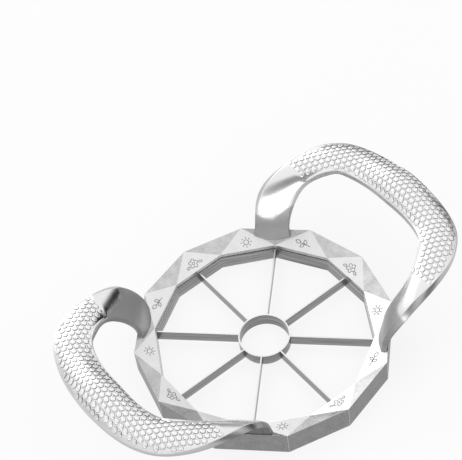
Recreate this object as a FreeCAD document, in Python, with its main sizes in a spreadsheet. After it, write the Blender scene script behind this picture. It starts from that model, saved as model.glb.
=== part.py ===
import FreeCAD, Part
import math
import os

import Sketcher
from FreeCAD import Matrix, Placement, Rotation, Vector

# Apple slicer and wedger. One aluminium casting is the frame and both loop handles. A twelve-sided steel
# band is pressed into it from below and carries eight blades, which meet in a core ring in the middle.
# Millimetres. +X runs from handle to handle, +Z is up, the cutting board is z = 0, the core's axis is Z.

SIZES = [
    ("opening_flats", 90, "apple opening in the frame, across its flats"),
    ("rim_width", 8.4, "frame, from a corner of the opening out to its own corners"),
    ("frame_height", 12, "outer edge of the frame above the board"),
    ("inner_height", 8.5, "inner edge of the frame above the board"),
    ("corner_shift", 1.2, "degrees by which the outer corners beside a leg are turned away from it"),
    ("rim_depth", 2, "upright rim of the opening, above the band"),
    ("relief_wall", 2, "walls left each side of the groove under the frame"),
    ("relief_depth", 5.4, "depth of that groove"),
    ("band_wall", 1, "steel band, wall"),
    ("band_proud", 0.3, "how far the band stands inside the rim"),
    ("band_gap", 0.15, "gap between the band's top edge and the rim"),
    ("blade_wall", 0.6, "blade, sheet thickness"),
    ("blade_depth", 5.6, "blade, top edge to cutting edge"),
    ("blade_grind", 1.6, "height of the ground bevel"),
    ("blade_land", 0.08, "flat left on the cutting edge"),
    ("tab_depth", 2.4, "height of the tabs on the blade's ends"),
    ("tab_play", 0.04, "gap between a tab and its slot, each side"),
    ("core_diameter", 22, "core ring, outside"),
    ("core_wall", 0.6, "core ring, wall"),
    ("core_depth", 6.2, "core ring, top edge to cutting edge"),
    ("core_grind", 1.2, "height of the bevel on the core ring's cutting edge"),
    ("leg_width", 14.8, "leg of a handle, across"),
    ("leg_edge", 2.4, "leg, side walls under the crown"),
    ("leg_crown", 0.6, "leg, height of the crown"),
    ("grip_width", 17.4, "grip of a handle, across"),
    ("grip_edge", 2.5, "grip, side walls under the crown"),
    ("grip_crown", 6.5, "grip, height of the crown"),
    ("grip_level", 38.1, "grip's crown starts this high above the board"),
    ("shoulder_draft", 1.8, "how much wider, each side, the band is at its back over the shoulder"),
    ("loop_reach", 43.5, "middle of the grip beyond the middle of the leg's root, along X"),
    ("loop_bulge", 3.1, "how far the loop spreads past its roots, along Y"),
    ("root_shift", 1.2, "root of a leg beside its blade, away from the loop"),
    ("root_inset", 0.1, "back of a leg behind the frame's outer wall"),
    ("root_clearance", 0.4, "foot of a leg above the band's pocket"),
    ("flare_height", 9, "height over which the root spreads on to the frame"),
    ("flare_spread", 2.2, "how much wider, each side, the root is at its foot"),
    ("channel_wall", 2.6, "edges of the grip beside the channel in its underside"),
    ("channel_cover", 3.2, "metal between the channel's roof and the crown of the grip"),
    ("channel_draft", 0.45, "how far each side of the channel leans in, for each millimetre of its depth"),
    ("channel_lead", 0.5, "channel's roof starts this far below the underside, so that its ends run out"),
]

SIDES = 12
BLADES = 8
LEG_ANGLE = 45.0
HALF_TURN = 180.0 / SIDES

# How far a cutting shape reaches past the face that it opens.
CUT_PAST = 2

# Course of a handle from its root to the middle of its grip, as shares of the loop's reach, of its widest
# half width and of its rise above the frame.
COLLAR = (0.003, 0.925, 0.1)
LEAN = (0.2, 1, 0.705)
SHOULDER = (0.338, 0.995, 0.868)
FAR_BEND = (0.863, 0.738, 1.029)
GRIP_END = (0.916, 0.626, 1.008)
GRIP_MIDDLE = (1, 0, 1)

# Sections of a handle: the first ones as shares of the flare's height, then one at about every step.
FOOT_STATIONS = (0, 0.27, 0.55, 0.95)
SECTION_STEP = 6.5
CROWN_POWER = 2.5
DRAFT_FROM = 0.05
DRAFT_UNTIL = 0.65
CHANNEL_FROM = 0.45
LEG_SQUARE_UNTIL = 0.26
GRIP_SQUARE_FROM = 0.67

doc = FreeCAD.newDocument("apple_slicer")
sheet = doc.addObject("Spreadsheet::Sheet", "Sizes")
for row, (alias, number, meaning) in enumerate(SIZES, start=1):
    sheet.set(f"A{row}", alias)
    sheet.set(f"B{row}", str(number))
    sheet.set(f"C{row}", meaning)
    sheet.setAlias(f"B{row}", alias)
doc.recompute()

# Expressions that more than one piece needs.
OPENING_APOTHEM = "Sizes.opening_flats / 2"
OUTER_RADIUS = f"({OPENING_APOTHEM} / cos(180 deg / {SIDES}) + Sizes.rim_width)"
POCKET_APOTHEM = "(Sizes.opening_flats / 2 - Sizes.band_proud + Sizes.band_wall)"
BAND_APOTHEM = "(Sizes.opening_flats / 2 - Sizes.band_proud)"
BLADE_TOP = "(Sizes.inner_height - Sizes.rim_depth - Sizes.band_gap)"
TAB_LOW = f"({BLADE_TOP} - (Sizes.blade_depth + Sizes.tab_depth) / 2)"
TAB_HIGH = f"({BLADE_TOP} - (Sizes.blade_depth - Sizes.tab_depth) / 2)"
CORE_RADIUS = "(Sizes.core_diameter / 2)"


def value(expression):
    """Number that an expression on the sheet gives."""
    return float(sheet.evalExpression(expression))


def bind(item, **properties):
    """Ties properties of an object to expressions."""
    for name, expression in properties.items():
        item.setExpression(name, expression)


def add(kind, name, **properties):
    """New document object with its plain properties set."""
    item = doc.addObject(kind, name)
    item.Label = name
    for key, content in properties.items():
        setattr(item, key, content)
    return item


def prism(name, apothem, low, high):
    """Regular twelve-sided prism on the flats of the opening, between two heights."""
    item = add("Part::Prism", name, Polygon=SIDES)
    bind(item, Circumradius=f"{apothem} / cos(180 deg / {SIDES})", Height=f"{high} - ({low})")
    item.Placement = Placement(Vector(), Rotation(Vector(0, 0, 1), HALF_TURN))
    item.setExpression("Placement.Base.z", low)
    return item


def draw_outline(sketch, corners):
    """Closed outline of straight lines. Each corner is an (x, y) pair of expressions."""
    points = [Vector(value(x), value(y), 0) for x, y in corners]
    for start, end in zip(points, points[1:] + points[:1]):
        sketch.addGeometry(Part.LineSegment(start, end), False)
    for index in range(len(points)):
        following = (index + 1) % len(points)
        sketch.addConstraint(Sketcher.Constraint("Coincident", index, 2, following, 1))
    for index, (corner, point) in enumerate(zip(corners, points)):
        for kind, expression, number in zip(("DistanceX", "DistanceY"), corner, point):
            place = sketch.addConstraint(Sketcher.Constraint(kind, -1, 1, index, 1, number))
            sketch.setExpression(f"Constraints[{place}]", expression)


def new_sketch(body, name, plane, corners, offset=None):
    """Sketch on one of a body's origin planes, moved along the plane's normal by an expression."""
    sketch = body.newObject("Sketcher::SketchObject", name)
    support = next(item for item in body.Origin.OriginFeatures if item.Role == plane)
    sketch.AttachmentSupport = [(support, "")]
    sketch.MapMode = "FlatFace"
    if offset is not None:
        sketch.setExpression("AttachmentOffset.Base.z", offset)
    draw_outline(sketch, corners)
    doc.recompute()
    return sketch


def rectangle(low_x, high_x, low_y, high_y):
    """Corners of a rectangle from the expressions of its sides."""
    return [(low_x, low_y), (high_x, low_y), (high_x, high_y), (low_x, high_y)]


def origin_axis(body, role):
    """One of a body's origin axes, as a pattern's or a revolution's reference."""
    return (next(item for item in body.Origin.OriginFeatures if item.Role == role), [""])


# ---------------------------------------------------------------- cast frame: the faceted ring


def inner_corner(index):
    """Corner of the frame's inner edge. Corner 0 is the one under the +X +Y leg."""
    angle = math.radians(LEG_ANGLE - 2 * HALF_TURN * index)
    radius = value(OPENING_APOTHEM) / math.cos(math.radians(HALF_TURN))
    return Vector(radius * math.cos(angle), radius * math.sin(angle), value("Sizes.inner_height"))


def outer_corner(index, height):
    """Corner of the outer edge, half a step past the inner corner of that index.

    The legs stand at inner corners 0, 3, 6 and 9, and the outer corners beside them are turned away.
    """
    away = {0: -1, 2: 1}.get(index % 3, 0)
    angle = math.radians(LEG_ANGLE - HALF_TURN - 2 * HALF_TURN * index + away * sheet.corner_shift)
    radius = value(OUTER_RADIUS)
    return Vector(radius * math.cos(angle), radius * math.sin(angle), height)


def flat_face(points):
    """Planar face on a closed run of corners."""
    return Part.Face(Part.makePolygon(points + points[:1]))


def make_faceted_disc():
    """Solid under the frame's funnel of 24 triangles, with the opening still closed.

    Triangles with their base on the inner edge alternate with triangles with their base on the outer edge.
    """
    inner = [inner_corner(i) for i in range(SIDES)]
    top = [outer_corner(i, sheet.frame_height) for i in range(SIDES)]
    foot = [outer_corner(i, 0) for i in range(SIDES)]
    faces = [flat_face(inner), flat_face(foot)]
    for i in range(SIDES):
        following = (i + 1) % SIDES
        faces.append(flat_face([inner[i], inner[following], top[i]]))
        faces.append(flat_face([top[i], inner[following], top[following]]))
        faces.append(flat_face([top[i], top[following], foot[following], foot[i]]))
    solid = Part.Solid(Part.Shell(faces))
    if solid.Volume < 0:
        solid.reverse()
    disc = add("Part::Feature", "faceted_disc")
    disc.Shape = solid
    return disc


# ---------------------------------------------------------------- cast frame: the handles


def panel_distance():
    """Distance from the axis to the outer wall that a leg stands on."""
    return value(OUTER_RADIUS) * math.cos(math.radians(HALF_TURN + sheet.corner_shift))


def handle_path():
    """Smooth line along the middle of the +X handle, from the root of its +Y leg to that of its -Y leg.

    It stands upright on the frame, leans out into the loop, bends over the shoulder and is level in the grip.
    """
    radial = panel_distance() - sheet.root_inset - sheet.leg_edge
    root = Rotation(Vector(0, 0, 1), LEG_ANGLE).multVec(Vector(radial, sheet.root_shift, 0))
    widest = root.y + sheet.loop_bulge
    rise = sheet.grip_level - sheet.frame_height
    points = [Vector(root.x, root.y, sheet.inner_height - sheet.rim_depth + sheet.root_clearance)]
    for along, sideways, up in (COLLAR, LEAN, SHOULDER, FAR_BEND, GRIP_END, GRIP_MIDDLE):
        x = root.x + along * sheet.loop_reach
        points.append(Vector(x, sideways * widest, sheet.frame_height + up * rise))
    curve = Part.BSplineCurve()
    curve.interpolate(points + [Vector(p.x, -p.y, p.z) for p in reversed(points[:-1])])
    return curve.toShape()


def smooth_step(number):
    """Rises smoothly from 0 to 1 as the number does, and stays level outside that range."""
    number = min(max(number, 0), 1)
    return number * number * (3 - 2 * number)


def section_frame(path, distance):
    """Middle of the section at a distance along the path, its X across the band and its Y out of it.

    Across is level. On the leg it is square to the frame's radius, on the grip it is square to the path as
    seen from above, and over the shoulder it turns smoothly from one to the other.
    """
    parameter = path.getParameterByLength(distance)
    along = path.tangentAt(parameter)
    radius = Vector(math.cos(math.radians(LEG_ANGLE)), math.sin(math.radians(LEG_ANGLE)), 0)
    level = Vector(along.x, along.y, 0).normalize()
    way = distance / (path.Length / 2)
    turned = smooth_step((way - LEG_SQUARE_UNTIL) / (GRIP_SQUARE_FROM - LEG_SQUARE_UNTIL))
    heading = radius * (1 - turned) + level * turned
    across = Vector(heading.y, -heading.x, 0).normalize()
    return path.valueAt(parameter), across, across.cross(along).normalize()


def to_placement(middle, across, out):
    """Placement whose X and Y axes are the two given directions."""
    normal = across.cross(out)
    return Placement(Matrix(
        across.x, out.x, normal.x, middle.x,
        across.y, out.y, normal.y, middle.y,
        across.z, out.z, normal.z, middle.z,
        0, 0, 0, 1,
    ))


def skin_section(name, place, half, foot, edge, crown):
    """Sketch of the handle's outline at one place: flat back, side walls and an arched crown.

    Half is its half width where the arch springs, and foot the one at the back. All are expressions.
    """
    sketch = add("Sketcher::SketchObject", name)
    half_width, half_foot, depth, rise = (value(item) for item in (half, foot, edge, crown))
    corners = [Vector(half_width, 0, 0), Vector(-half_width, 0, 0),
               Vector(-half_foot, -depth, 0), Vector(half_foot, -depth, 0)]
    sketch.addGeometry(Part.Arc(corners[0], Vector(0, rise, 0), corners[1]), False)
    for begin, end in zip(corners[1:], corners[2:] + corners[:1]):
        sketch.addGeometry(Part.LineSegment(begin, end), False)
    bounds = [(0, 1, half, "0"), (0, 2, f"-({half})", "0")]
    bounds += [(1, 2, f"-({foot})", f"-({edge})"), (2, 2, foot, f"-({edge})")]
    for first, second in ((0, 1), (1, 2), (2, 3), (3, 0)):
        sketch.addConstraint(Sketcher.Constraint("Coincident", first, 2, second, 1))
    for line, end, x, y in bounds:
        for kind, expression in (("DistanceX", x), ("DistanceY", y)):
            number = sketch.addConstraint(Sketcher.Constraint(kind, -1, 1, line, end, value(expression)))
            sketch.setExpression(f"Constraints[{number}]", expression)
    radius = f"({half} ^ 2 + {crown} ^ 2) / (2 * {crown})"
    number = sketch.addConstraint(Sketcher.Constraint("Radius", 0, value(radius)))
    sketch.setExpression(f"Constraints[{number}]", radius)
    sketch.Placement = place
    return sketch


def channel_section(name, place, mouth, edge, roof):
    """Sketch of the channel at one place: a mouth in the handle's back, drafted sides and a flat roof."""
    low = f"-({edge}) - {CUT_PAST}"
    wide = f"({mouth} + Sizes.channel_draft * {CUT_PAST})"
    narrow = f"({mouth} - Sizes.channel_draft * ({roof} + {edge}))"
    sketch = add("Sketcher::SketchObject", name)
    draw_outline(sketch, [(f"-{wide}", low), (wide, low), (narrow, roof), (f"-{narrow}", roof)])
    sketch.Placement = place
    return sketch


def mirrored(frame):
    """The same section frame on the other half of the handle, across the XZ plane."""
    return [Vector(item.x, -item.y, item.z) for item in frame]


def loft(name, sections):
    """Smooth solid through a run of sections."""
    return add("Part::Loft", name, Sections=sections, Solid=True, Ruled=False)


def section_distances(half_length):
    """Distances from the root to the handle's sections, close together where the root flares."""
    foot = [share * sheet.flare_height for share in FOOT_STATIONS]
    rest = half_length - foot[-1]
    steps = round(rest / SECTION_STEP)
    return foot + [foot[-1] + rest * step / steps for step in range(1, steps + 1)]


def make_handle():
    """The +X handle: a band, flat on the legs and crowned on the grip, with a channel under the grip.

    Its sides spread towards its back over the shoulder. The channel is as deep as the grip is crowned, so it
    runs out before the shoulder.
    """
    path = handle_path()
    half_length = path.Length / 2
    deepest = "(Sizes.grip_edge + Sizes.grip_crown - Sizes.channel_cover + Sizes.channel_lead)"
    stations = [(distance, section_frame(path, distance)) for distance in section_distances(half_length)]
    stations += [(distance, mirrored(frame)) for distance, frame in stations[-2::-1]]
    skin, channel = [], []
    for index, (distance, frame) in enumerate(stations):
        place = to_placement(*frame)
        way = distance / half_length
        crowned = f"{math.sin(math.pi / 2 * way ** CROWN_POWER) ** 2:.6f}"
        flare = f"Sizes.flare_spread * {max(0.0, 1 - distance / sheet.flare_height) ** 2:.6f}"
        drafted = min(max((way - DRAFT_FROM) / (DRAFT_UNTIL - DRAFT_FROM), 0), 1)
        half = f"((Sizes.leg_width + (Sizes.grip_width - Sizes.leg_width) * {way ** 2:.6f}) / 2 + {flare})"
        foot = f"({half} + Sizes.shoulder_draft * {math.sin(math.pi * drafted) ** 2:.6f})"
        edge = f"(Sizes.leg_edge + (Sizes.grip_edge - Sizes.leg_edge) * {way:.6f})"
        crown = f"(Sizes.leg_crown + (Sizes.grip_crown - Sizes.leg_crown) * {crowned} + {flare})"
        skin.append(skin_section(f"skin_{index}", place, half, foot, edge, crown))
        if way > CHANNEL_FROM:
            mouth = f"({half} - Sizes.channel_wall)"
            roof = f"({deepest} * {crowned} - Sizes.channel_lead - {edge})"
            channel.append(channel_section(f"channel_{index}", place, mouth, edge, roof))
    return add("Part::Cut", "handle", Base=loft("handle_skin", skin), Tool=loft("handle_channel", channel))


def make_cast_frame():
    """Frame and handles in one casting, with the band's pocket and a relief groove in its underside."""
    disc = make_faceted_disc()
    handle = make_handle()
    other = add("Part::Mirroring", "other_handle", Source=handle, Normal=Vector(1, 0, 0))
    solid = add("Part::MultiFuse", "casting_blank", Shapes=[disc, handle, other])
    opening = prism("opening", OPENING_APOTHEM, f"-{CUT_PAST}", f"Sizes.inner_height + {CUT_PAST}")
    pocket = prism("band_pocket", POCKET_APOTHEM, f"-{CUT_PAST}", "Sizes.inner_height - Sizes.rim_depth")
    groove_bore = f"({POCKET_APOTHEM} + Sizes.relief_wall)"
    groove_inner = prism("groove_inner", groove_bore, f"-2 * {CUT_PAST}", "Sizes.frame_height")
    groove_outer = add("Part::Prism", "groove_outer", Polygon=SIDES)
    bind(groove_outer, Height=f"Sizes.relief_depth + {CUT_PAST}",
         Circumradius=f"{OUTER_RADIUS} - Sizes.relief_wall / cos(180 deg / {SIDES})")
    groove_outer.Placement.Base.z = -CUT_PAST
    groove = add("Part::Cut", "relief_groove", Base=groove_outer, Tool=groove_inner)
    hollow = add("Part::MultiFuse", "casting_hollow", Shapes=[opening, pocket, groove])
    return add("Part::Cut", "cast_frame", Base=solid, Tool=hollow)


# ---------------------------------------------------------------- steel band, core ring and blades


def cut_tab_slots(body, name, low_x, high_x):
    """Cuts a slot for a blade's tab through the +X wall of a body, and repeats it round the axis."""
    half = "(Sizes.blade_wall / 2 + Sizes.tab_play)"
    corners = rectangle(f"-{half}", half, f"{TAB_LOW} - Sizes.tab_play", f"{TAB_HIGH} + Sizes.tab_play")
    sketch = new_sketch(body, f"{name}_slot_outline", "YZ_Plane", corners, offset=low_x)
    before = body.Shape.Volume
    slot = body.newObject("PartDesign::Pocket", f"{name}_slot")
    slot.Profile = sketch
    slot.Type = "Length"
    slot.Reversed = True
    slot.setExpression("Length", f"{high_x} - ({low_x})")
    doc.recompute()
    if not slot.Shape.Volume < before:
        raise RuntimeError(f"{name}: the slot cuts nothing")
    pattern = body.newObject("PartDesign::PolarPattern", f"{name}_slots")
    pattern.Originals = [slot]
    pattern.Axis = origin_axis(body, "Z_Axis")
    pattern.Angle = 360
    pattern.Occurrences = BLADES
    body.Tip = pattern
    doc.recompute()
    return body


def make_blade_band():
    """Twelve-sided steel band that lines the frame's pocket and holds the outer ends of the blades."""
    body = add("PartDesign::Body", "blade_band")

    def corners(apothem):
        radius = f"{apothem} / cos(180 deg / {SIDES})"
        angles = [HALF_TURN * (2 * i + 1) for i in range(SIDES)]
        return [(f"{radius} * cos({angle} deg)", f"{radius} * sin({angle} deg)") for angle in angles]

    outline = new_sketch(body, "band_outline", "XY_Plane", corners(POCKET_APOTHEM))
    pad = body.newObject("PartDesign::Pad", "band_pad")
    pad.Profile = outline
    pad.setExpression("Length", BLADE_TOP)
    doc.recompute()
    bore_outline = new_sketch(body, "band_bore_outline", "XY_Plane", corners(BAND_APOTHEM))
    bore = body.newObject("PartDesign::Pocket", "band_bore")
    bore.Profile = bore_outline
    bore.Type = "ThroughAll"
    bore.Reversed = True
    doc.recompute()
    if not bore.Shape.Volume < 0.5 * pad.Shape.Volume:
        raise RuntimeError("blade_band: the bore cuts nothing")
    corner_radius = f"{POCKET_APOTHEM} / cos(180 deg / {SIDES})"
    return cut_tab_slots(body, "band", f"{BAND_APOTHEM} - {CUT_PAST}", f"{corner_radius} + {CUT_PAST}")


def make_core_ring():
    """Steel ring that cuts the core out. Its lower edge is ground on the outside."""
    body = add("PartDesign::Body", "core_ring")
    low = f"{BLADE_TOP} - Sizes.core_depth"
    bore = f"{CORE_RADIUS} - Sizes.core_wall"
    wall = [
        (bore, low),
        (f"{bore} + Sizes.blade_land", low),
        (CORE_RADIUS, f"{low} + Sizes.core_grind"),
        (CORE_RADIUS, BLADE_TOP),
        (bore, BLADE_TOP),
    ]
    profile = new_sketch(body, "core_profile", "XZ_Plane", wall)
    tube = body.newObject("PartDesign::Revolution", "core_tube")
    tube.Profile = profile
    tube.ReferenceAxis = origin_axis(body, "Z_Axis")
    tube.Angle = 360
    doc.recompute()
    bore_side = f"{CORE_RADIUS} - Sizes.core_wall - {CUT_PAST}"
    return cut_tab_slots(body, "core", bore_side, f"{CORE_RADIUS} + {CUT_PAST}")


def make_blade(number):
    """One blade: a ground strip between the core ring and the band, with a tab at each end.

    Even-numbered blades run to a corner of the band, the others to the middle of one of its sides.
    """
    name = f"slicing_blade_{number + 1}"
    body = add("PartDesign::Body", name)
    half = "Sizes.blade_wall / 2"
    land = "Sizes.blade_land / 2"
    low = f"{BLADE_TOP} - Sizes.blade_depth"
    if number % 2:
        corner = f"({half}) * tan(180 deg / {SIDES})"
        end = f"({BAND_APOTHEM} / cos(180 deg / {SIDES}) - {corner})"
        tab_end = f"({POCKET_APOTHEM} / cos(180 deg / {SIDES}) - {corner})"
    else:
        end = BAND_APOTHEM
        tab_end = POCKET_APOTHEM
    section = [
        (f"-{half}", BLADE_TOP),
        (f"-{half}", f"{low} + Sizes.blade_grind"),
        (f"-{land}", low),
        (land, low),
        (half, f"{low} + Sizes.blade_grind"),
        (half, BLADE_TOP),
    ]
    profile = new_sketch(body, f"{name}_section", "YZ_Plane", section, offset=CORE_RADIUS)
    strip = body.newObject("PartDesign::Pad", f"{name}_strip")
    strip.Profile = profile
    strip.setExpression("Length", f"{end} - {CORE_RADIUS}")
    doc.recompute()
    tabs = (("inner", f"{CORE_RADIUS} - Sizes.core_wall", CORE_RADIUS), ("outer", end, tab_end))
    for side, start, stop in tabs:
        corners = rectangle(f"-{half}", half, TAB_LOW, TAB_HIGH)
        outline = new_sketch(body, f"{name}_{side}_tab_outline", "YZ_Plane", corners, offset=start)
        tab = body.newObject("PartDesign::Pad", f"{name}_{side}_tab")
        tab.Profile = outline
        tab.setExpression("Length", f"{stop} - ({start})")
        doc.recompute()
    body.Placement = Placement(Vector(), Rotation(Vector(0, 0, 1), number * 360 / BLADES))
    return body


pieces = [make_cast_frame(), make_blade_band(), make_core_ring()]
pieces += [make_blade(number) for number in range(BLADES)]
doc.recompute()

for item in doc.Objects:
    if {"Invalid", "Error"} & set(item.State):
        raise RuntimeError(f"{item.Label} failed: {item.State}")
for piece in pieces:
    if piece.Shape.isNull() or not piece.Shape.isValid():
        raise RuntimeError(f"{piece.Label} has no valid shape")

os.makedirs("parts", exist_ok=True)
for piece in pieces:
    piece.Shape.exportStep(f"parts/{piece.Label}.step")
    box = piece.Shape.BoundBox
    print(f"{piece.Label}: {box.XLength:.2f} x {box.YLength:.2f} x {box.ZLength:.2f} mm,",
          f"{len(piece.Shape.Solids)} solid, {piece.Shape.Volume:.0f} mm3")
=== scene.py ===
import math

import bpy
import numpy as np
from mathutils import Matrix, Vector
from mathutils.bvhtree import BVHTree


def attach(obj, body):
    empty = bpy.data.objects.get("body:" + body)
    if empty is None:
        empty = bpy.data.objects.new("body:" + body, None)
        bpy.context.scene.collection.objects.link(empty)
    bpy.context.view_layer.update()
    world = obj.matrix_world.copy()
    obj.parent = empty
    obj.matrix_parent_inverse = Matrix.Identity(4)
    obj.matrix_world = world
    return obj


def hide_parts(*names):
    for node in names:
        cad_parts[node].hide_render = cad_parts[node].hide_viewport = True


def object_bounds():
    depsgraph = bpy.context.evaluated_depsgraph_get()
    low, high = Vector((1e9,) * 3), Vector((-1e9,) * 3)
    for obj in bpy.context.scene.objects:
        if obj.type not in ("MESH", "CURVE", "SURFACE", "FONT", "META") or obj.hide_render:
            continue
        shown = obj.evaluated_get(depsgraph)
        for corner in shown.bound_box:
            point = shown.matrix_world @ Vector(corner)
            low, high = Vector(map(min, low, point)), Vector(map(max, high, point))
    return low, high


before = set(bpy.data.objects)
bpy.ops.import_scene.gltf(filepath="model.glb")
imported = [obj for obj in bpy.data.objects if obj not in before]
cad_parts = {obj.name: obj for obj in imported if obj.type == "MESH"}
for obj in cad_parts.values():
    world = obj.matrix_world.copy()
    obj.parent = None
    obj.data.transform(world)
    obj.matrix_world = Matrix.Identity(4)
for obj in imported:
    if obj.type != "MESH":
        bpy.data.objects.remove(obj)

# The slicer's sizes are in millimetres, and the table's and the lamps' in metres.
MM = 0.001
cad_box = [list(corner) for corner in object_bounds()]

# ---------------------------------------------------------------- camera
# A long lens looks down at the slicer from the left of the front. It is rolled, so that the two handles lie
# on a rising diagonal.

CAMERA_AZIMUTH = -31.11
CAMERA_ELEVATION = 50.53
CAMERA_ROLL = -9.31
CAMERA_DISTANCE = 744.6 * MM
CAMERA_AIM = Vector((12.07, 32.81, 36.89)) * MM
LENS = 138.26
SENSOR = 36.0


def look_from(aim, azimuth, elevation, distance, roll):
    """World matrix of a camera that looks at a point.

    Azimuth is counted from -Y towards +X and elevation from the floor. The camera's own Z points back along
    the view, its X is level before the roll, and the roll turns X and Y about the view.
    """
    turn, lift, lean = (math.radians(angle) for angle in (azimuth, elevation, roll))
    back = Vector((math.sin(turn) * math.cos(lift), -math.cos(turn) * math.cos(lift), math.sin(lift)))
    level = Vector((math.cos(turn), math.sin(turn), 0))
    upright = back.cross(level)
    right = math.cos(lean) * level + math.sin(lean) * upright
    up = back.cross(right)
    matrix = Matrix((right, up, back)).transposed().to_4x4()
    matrix.translation = aim + back * distance
    return matrix


camera = bpy.data.objects.new("camera", bpy.data.cameras.new("camera"))
bpy.context.scene.collection.objects.link(camera)
camera.data.lens = LENS
camera.data.sensor_fit = "HORIZONTAL"
camera.data.sensor_width = SENSOR
camera.matrix_world = look_from(CAMERA_AIM, CAMERA_AZIMUTH, CAMERA_ELEVATION, CAMERA_DISTANCE, CAMERA_ROLL)
bpy.context.scene.camera = camera
bpy.context.scene.view_settings.view_transform = "Standard"

# ---------------------------------------------------------------- floor and light
# A white laminate table in a bright light tent, with a softbox behind the slicer and one at the camera's
# left. The tent has a black gap low at the right. It is dark low in front, and grey low at the back on the
# right and behind the camera's left shoulder. The metal takes its darks from there.

FLOOR_HALF = 0.35
FLOOR_WHITE = "F8F8F8"
FLOOR_WHITENED = 0.85
TENT_HIGH = "FAFAFA"
TENT_LOW = "E4E4E4"
TENT_SEEN = "FCFCFC"
# Upward part of a direction, from which on the tent is at its palest.
TENT_PALEST = 0.4
# Each patch has the way to its middle, its colour, and the cosines at which it begins and is full.
TENT_PATCHES = (
    ((-0.54, -0.42, 0.73), "949494", 0.87, 0.985),
    ((0.64, 0.76, 0.10), "9C9C9C", 0.93, 0.985),
    ((0.985, -0.10, 0.09), "0E0E0E", 0.86, 0.965),
    ((0.36, -0.88, 0.25), "404040", 0.91, 0.98),
)
KEY_PLACE = (0.09, 1.01, 0.44)
KEY_SIZE = 0.85
KEY_WATTS = 2.2
FILL_PLACE = (-0.86, -0.6, 0.3)
FILL_SIZE = 0.5
FILL_WATTS = 1.6


def linear(hexadecimal):
    """Scene-linear RGBA of an sRGB hex colour, by the standard's curve, which is straight near black."""
    parts = np.array([int(hexadecimal[i:i + 2], 16) for i in (0, 2, 4)]) / 255
    curved = np.where(parts <= 0.04045, parts / 12.92, ((parts + 0.055) / 1.055) ** 2.4)
    return (*curved.tolist(), 1.0)


def add_node(tree, kind, inputs=None, **settings):
    """Adds a node. Its settings are set first, then each input is linked to a socket or given a value."""
    node = tree.nodes.new(kind)
    for name, content in settings.items():
        setattr(node, name, content)
    for name, content in (inputs or {}).items():
        if isinstance(content, bpy.types.NodeSocket):
            tree.links.new(content, node.inputs[name])
        else:
            node.inputs[name].default_value = content
    return node


def new_material(name, shader):
    """Material with a Principled shader, whose plain values are set on its own sockets."""
    material = bpy.data.materials.new(name)
    material.use_nodes = True
    tree = material.node_tree
    tree.nodes.clear()
    principled = add_node(tree, "ShaderNodeBsdfPrincipled", shader)
    add_node(tree, "ShaderNodeOutputMaterial", {"Surface": principled.outputs["BSDF"]})
    return material, tree, principled


def new_mesh_object(name, points, faces):
    """Object at the origin from an array of points in metres and a list of faces as their points' numbers."""
    mesh = bpy.data.meshes.new(name)
    mesh.from_pydata(points.tolist(), [], faces)
    piece = bpy.data.objects.new(name, mesh)
    bpy.context.scene.collection.objects.link(piece)
    return piece


floor_corners = np.array([(-1, -1, 0), (1, -1, 0), (1, 1, 0), (-1, 1, 0)]) * FLOOR_HALF
floor = new_mesh_object("white_table", floor_corners, [(0, 1, 2, 3)])
# Matt laminate: plain white, with hardly any gloss. The camera and the metal see it whiter still, and it
# keeps the slicer's shadow.
laminate, tree, shader = new_material("white laminate, matt", {
    "Base Color": linear(FLOOR_WHITE), "Roughness": 0.75, "Specular IOR Level": 0.2})
floor.data.materials.append(laminate)
sight = add_node(tree, "ShaderNodeLightPath")
seen = sight.outputs["Is Camera Ray"]
for ray in ("Is Glossy Ray", "Is Transmission Ray"):
    both = add_node(tree, "ShaderNodeMath", {0: seen, 1: sight.outputs[ray]}, operation="ADD")
    seen = both.outputs["Value"]
share = add_node(tree, "ShaderNodeMath", {0: seen, 1: FLOOR_WHITENED}, operation="MULTIPLY")
white = add_node(tree, "ShaderNodeEmission", {"Color": linear("FFFFFF"), "Strength": 1.0})
table = add_node(tree, "ShaderNodeMixShader", {
    "Fac": share.outputs["Value"], 1: shader.outputs["BSDF"], 2: white.outputs["Emission"]})
tree.links.new(table.outputs["Shader"], tree.nodes["Material Output"].inputs["Surface"])

world = bpy.data.worlds.new("light_tent")
bpy.context.scene.world = world
world.use_nodes = True
tree = world.node_tree
tree.nodes.clear()
direction = add_node(tree, "ShaderNodeTexCoord")
height = add_node(tree, "ShaderNodeSeparateXYZ", {"Vector": direction.outputs["Generated"]})
walls = add_node(tree, "ShaderNodeMapRange", {
    "Value": height.outputs["Z"], "From Min": 0.0, "From Max": TENT_PALEST}, interpolation_type="SMOOTHSTEP")
tent = add_node(tree, "ShaderNodeMix", {
    "Factor": walls.outputs["Result"], "A": linear(TENT_LOW), "B": linear(TENT_HIGH)}, data_type="RGBA")
for towards, colour, edge, middle in TENT_PATCHES:
    facing = add_node(tree, "ShaderNodeVectorMath", {
        0: direction.outputs["Generated"], 1: towards}, operation="DOT_PRODUCT")
    patch = add_node(tree, "ShaderNodeMapRange", {
        "Value": facing.outputs["Value"], "From Min": edge, "From Max": middle},
        interpolation_type="SMOOTHSTEP")
    tent = add_node(tree, "ShaderNodeMix", {
        "Factor": patch.outputs["Result"], "A": tent.outputs["Result"], "B": linear(colour)},
        data_type="RGBA")
# The camera sees the tent behind the table as white, and the metal sees it with its patches.
sight = add_node(tree, "ShaderNodeLightPath")
tent = add_node(tree, "ShaderNodeMix", {
    "Factor": sight.outputs["Is Camera Ray"], "A": tent.outputs["Result"], "B": linear(TENT_SEEN)},
    data_type="RGBA")
glow = add_node(tree, "ShaderNodeBackground", {"Color": tent.outputs["Result"], "Strength": 1.0})
add_node(tree, "ShaderNodeOutputWorld", {"Surface": glow.outputs["Background"]})


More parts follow.
